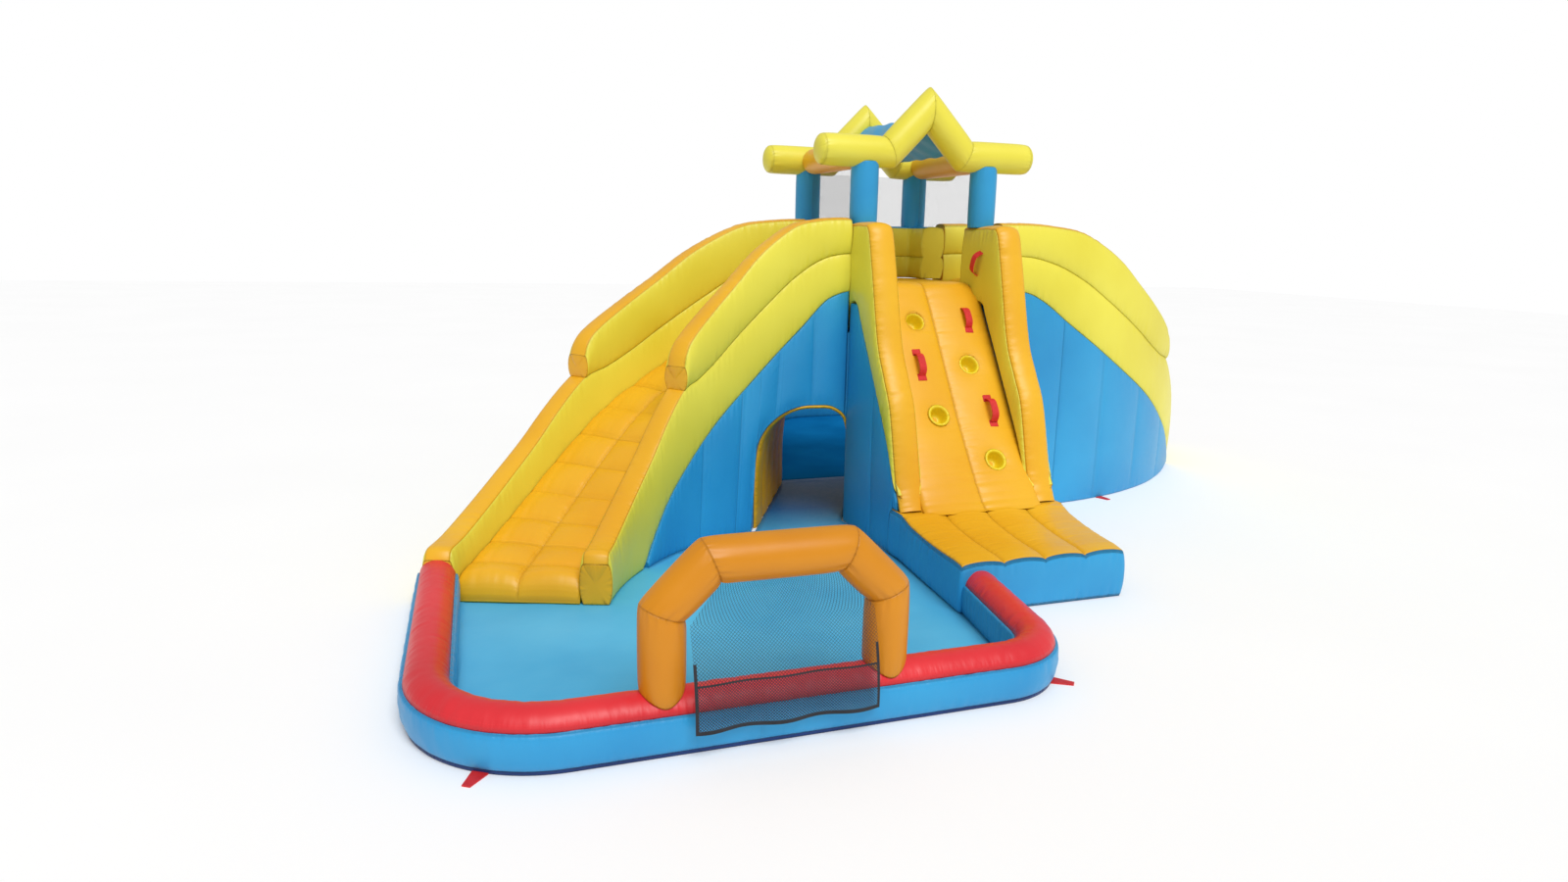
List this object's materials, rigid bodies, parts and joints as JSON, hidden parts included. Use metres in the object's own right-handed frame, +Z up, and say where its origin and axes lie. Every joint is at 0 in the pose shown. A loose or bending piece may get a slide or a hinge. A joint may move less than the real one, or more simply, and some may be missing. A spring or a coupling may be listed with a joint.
{
  "type": "inflatable water slide",
  "caption": "Inflatable water slide: a roofed tower with a curved slide on either side, a climbing wall, a crawl tunnel, splash pools and a ball goal.",
  "frame": {"origin": "bottom centre of the whole object's bounding box, on the ground", "axes": "+Z up; +X to the right and -Y to the front for someone who faces the climbing wall from in front"},
  "size_m": [6.4028, 6.363, 2.6846],
  "materials": {
    "blue": "satin coated fabric",
    "cloth": "thin coated cloth",
    "navy": "black knotless netting",
    "orange": "satin coated fabric",
    "pale_blue": "satin coated fabric",
    "red": "satin coated fabric",
    "webbing": "woven webbing",
    "white": "smooth plastic tube",
    "yellow": "satin coated fabric"
  },
  "bodies": {
    "inflatable": {"air_inlet_sleeve": "blue", "back_left_post": "blue", "back_net": "navy", "back_right_post": "blue", "climb_handle_1": "webbing", "climb_handle_2": "webbing", "climb_handle_3": "webbing", "climb_handle_4": "webbing", "climbing_bed": "orange", "climbing_left_side": "blue", "climbing_left_wall": "yellow", "climbing_right_side": "blue", "climbing_right_wall": "yellow", "foot_pocket_1": "yellow", "foot_pocket_2": "yellow", "foot_pocket_3": "yellow", "foot_pocket_4": "yellow", "front_left_post": "blue", "front_pool_floor": "pale_blue", "front_pool_rim": "red", "front_pool_wall_1": "blue", "front_pool_wall_2": "blue", "front_right_post": "blue", "goal_arch": "orange", "goal_net": "navy", "landing_mat": "orange", "left_net": "navy", "left_slide_bed": "orange", "left_slide_inner_lower_tube": "yellow", "left_slide_inner_panel": "blue", "left_slide_inner_upper_tube": "yellow", "left_slide_outer_lower_tube": "yellow", "left_slide_outer_panel": "blue", "left_slide_outer_upper_tube": "yellow", "rear_pool_floor": "pale_blue", "rear_pool_rim": "red", "rear_pool_wall_1": "blue", "rear_pool_wall_2": "blue", "right_net": "navy", "right_slide_bed": "orange", "right_slide_inner_lower_tube": "yellow", "right_slide_inner_panel": "blue", "right_slide_inner_upper_tube": "yellow", "right_slide_outer_lower_tube": "yellow", "right_slide_outer_panel": "blue", "right_slide_outer_upper_tube": "yellow", "roof_back_beam": "yellow", "roof_canopy": "cloth", "roof_front_beam": "yellow", "roof_left_beam": "orange", "roof_right_beam": "orange", "sprinkler_hose": "white", "tower_back_panel": "blue", "tower_back_wall": "yellow", "tower_deck": "orange", "tower_front_panel": "blue", "tunnel_liner": "orange"},
    "tab_1": {"anchor_tab_1": "webbing"},
    "tab_2": {"anchor_tab_2": "webbing"},
    "tab_3": {"anchor_tab_3": "webbing"}
  },
  "joints": [
    {"name": "anchor_tab_1_hinge", "type": "hinge", "parent": "inflatable", "child": "tab_1", "pos_m": [-2.94148, -3.02157, 0.005], "axis": [-0.837, 0.5472, 0], "range_deg": [0, 60]},
    {"name": "anchor_tab_2_hinge", "type": "hinge", "parent": "inflatable", "child": "tab_2", "pos_m": [-0.68607, -2.97812, 0.005], "axis": [-0.6412, -0.7674, 0], "range_deg": [0, 60]},
    {"name": "anchor_tab_3_hinge", "type": "hinge", "parent": "inflatable", "child": "tab_3", "pos_m": [1.42286, -0.48825, 0.005], "axis": [-0.9648, -0.2629, 0], "range_deg": [0, 80]}
  ]
}
